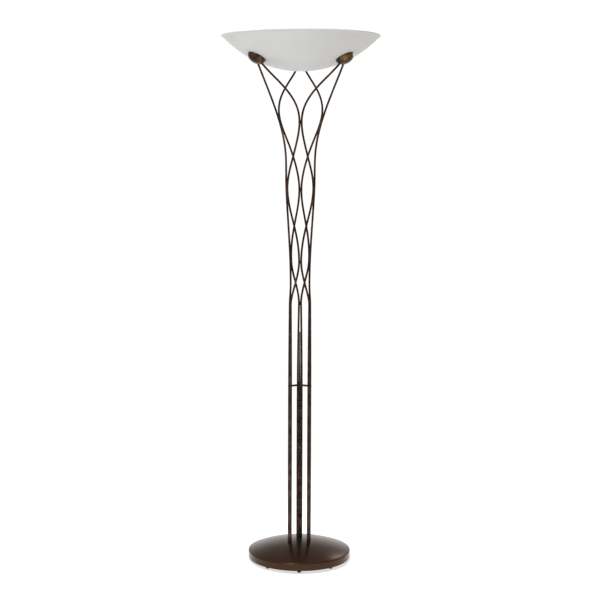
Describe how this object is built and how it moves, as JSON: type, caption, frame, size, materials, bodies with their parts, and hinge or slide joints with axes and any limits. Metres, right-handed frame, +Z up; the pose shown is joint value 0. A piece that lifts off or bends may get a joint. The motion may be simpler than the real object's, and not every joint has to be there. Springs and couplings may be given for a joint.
{
  "type": "torchiere floor lamp",
  "caption": "Uplighter floor lamp with a shallow opal glass bowl held by domed cups on woven bronze rods over a weighted round dome base.",
  "frame": {"origin": "on the floor under the feet, on the lamp's vertical axis", "axes": "+Z up along the lamp; -Y is the front, so the back leg and the cord inlet are at +Y; +X is to the right seen from the front"},
  "size_m": [0.534, 0.534, 1.8],
  "materials": {
    "base_lacquer": "dark bronze-brown lacquer, satin gloss",
    "rod_bronze": "antique bronze patina, lightly mottled",
    "cup_bronze": "antique bronze patina, satin gloss",
    "opal_glass": "white opal glass, satin",
    "bulb_glass": "inside-frosted bulb glass",
    "cap_nickel": "nickel-plated brass",
    "black_plastic": "moulded thermoset, satin",
    "brass": "plain brass",
    "lead_silicone": "silicone sleeving",
    "cast_iron": "black primer",
    "zinc_steel": "zinc plated",
    "black_rubber": "moulded rubber",
    "junction_plastic": "moulded polyamide"
  },
  "bodies": {
    "lamp_frame": {"base_cover": "base_lacquer", "ballast": "cast_iron", "base_plate": "cast_iron", "feet": "black_rubber", "foot_screws": "zinc_steel", "plate_screws": "zinc_steel", "cover_screws": "zinc_steel", "stud_washers": "zinc_steel", "stud_nuts": "zinc_steel", "cord_gland": "black_plastic", "gland_nut": "black_plastic", "cord_clip": "zinc_steel", "clip_screw": "zinc_steel", "junction_block": "junction_plastic", "block_screws": "zinc_steel", "earth_screw": "brass", "weave_rod_1": "rod_bronze", "weave_rod_2": "rod_bronze", "weave_rod_3": "rod_bronze", "weave_rod_4": "rod_bronze", "weave_rod_5": "rod_bronze", "weave_rod_6": "rod_bronze", "centre_rod_1": "rod_bronze", "centre_rod_2": "rod_bronze", "centre_rod_3": "rod_bronze", "leg_spider": "rod_bronze", "spider_caps": "rod_bronze", "glass_bowl": "opal_glass", "cup_1": "cup_bronze", "cup_2": "cup_bronze", "cup_3": "cup_bronze", "cup_straps": "zinc_steel", "holder_screws": "zinc_steel", "bowl_gaskets": "black_rubber", "ring_washers": "black_rubber", "lampholder_1": "black_plastic", "lampholder_2": "black_plastic", "lampholder_3": "black_plastic", "screw_sleeve_1": "brass", "screw_sleeve_2": "brass", "screw_sleeve_3": "brass", "centre_contacts": "brass", "lead_1": "lead_silicone", "lead_2": "lead_silicone", "lead_3": "lead_silicone"},
    "ring_1": {"shade_ring_1": "black_plastic"},
    "bulb_1": {"bulb_glass_1": "bulb_glass", "bulb_cap_1": "cap_nickel"},
    "ring_2": {"shade_ring_2": "black_plastic"},
    "bulb_2": {"bulb_glass_2": "bulb_glass", "bulb_cap_2": "cap_nickel"},
    "ring_3": {"shade_ring_3": "black_plastic"},
    "bulb_3": {"bulb_glass_3": "bulb_glass", "bulb_cap_3": "cap_nickel"}
  },
  "joints": [
    {"name": "ring_1_unscrew", "type": "hinge", "parent": "lamp_frame", "child": "ring_1", "pos_m": [-0.14419, -0.08325, 1.72229], "axis": [0.4005, 0.2313, 0.8866], "range_deg": [0, 900]},
    {"name": "ring_2_unscrew", "type": "hinge", "parent": "lamp_frame", "child": "ring_2", "pos_m": [0.14419, -0.08325, 1.72229], "axis": [-0.4005, 0.2313, 0.8866], "range_deg": [0, 900]},
    {"name": "ring_3_unscrew", "type": "hinge", "parent": "lamp_frame", "child": "ring_3", "pos_m": [0, 0.1665, 1.72229], "axis": [0, -0.4625, 0.8866], "range_deg": [0, 900]},
    {"name": "bulb_1_unscrew", "type": "hinge", "parent": "lamp_frame", "child": "bulb_1", "pos_m": [-0.14419, -0.08325, 1.72229], "axis": [0.4005, 0.2313, 0.8866], "range_deg": [0, 1260]},
    {"name": "bulb_2_unscrew", "type": "hinge", "parent": "lamp_frame", "child": "bulb_2", "pos_m": [0.14419, -0.08325, 1.72229], "axis": [-0.4005, 0.2313, 0.8866], "range_deg": [0, 1260]},
    {"name": "bulb_3_unscrew", "type": "hinge", "parent": "lamp_frame", "child": "bulb_3", "pos_m": [0, 0.1665, 1.72229], "axis": [0, -0.4625, 0.8866], "range_deg": [0, 1260]}
  ]
}
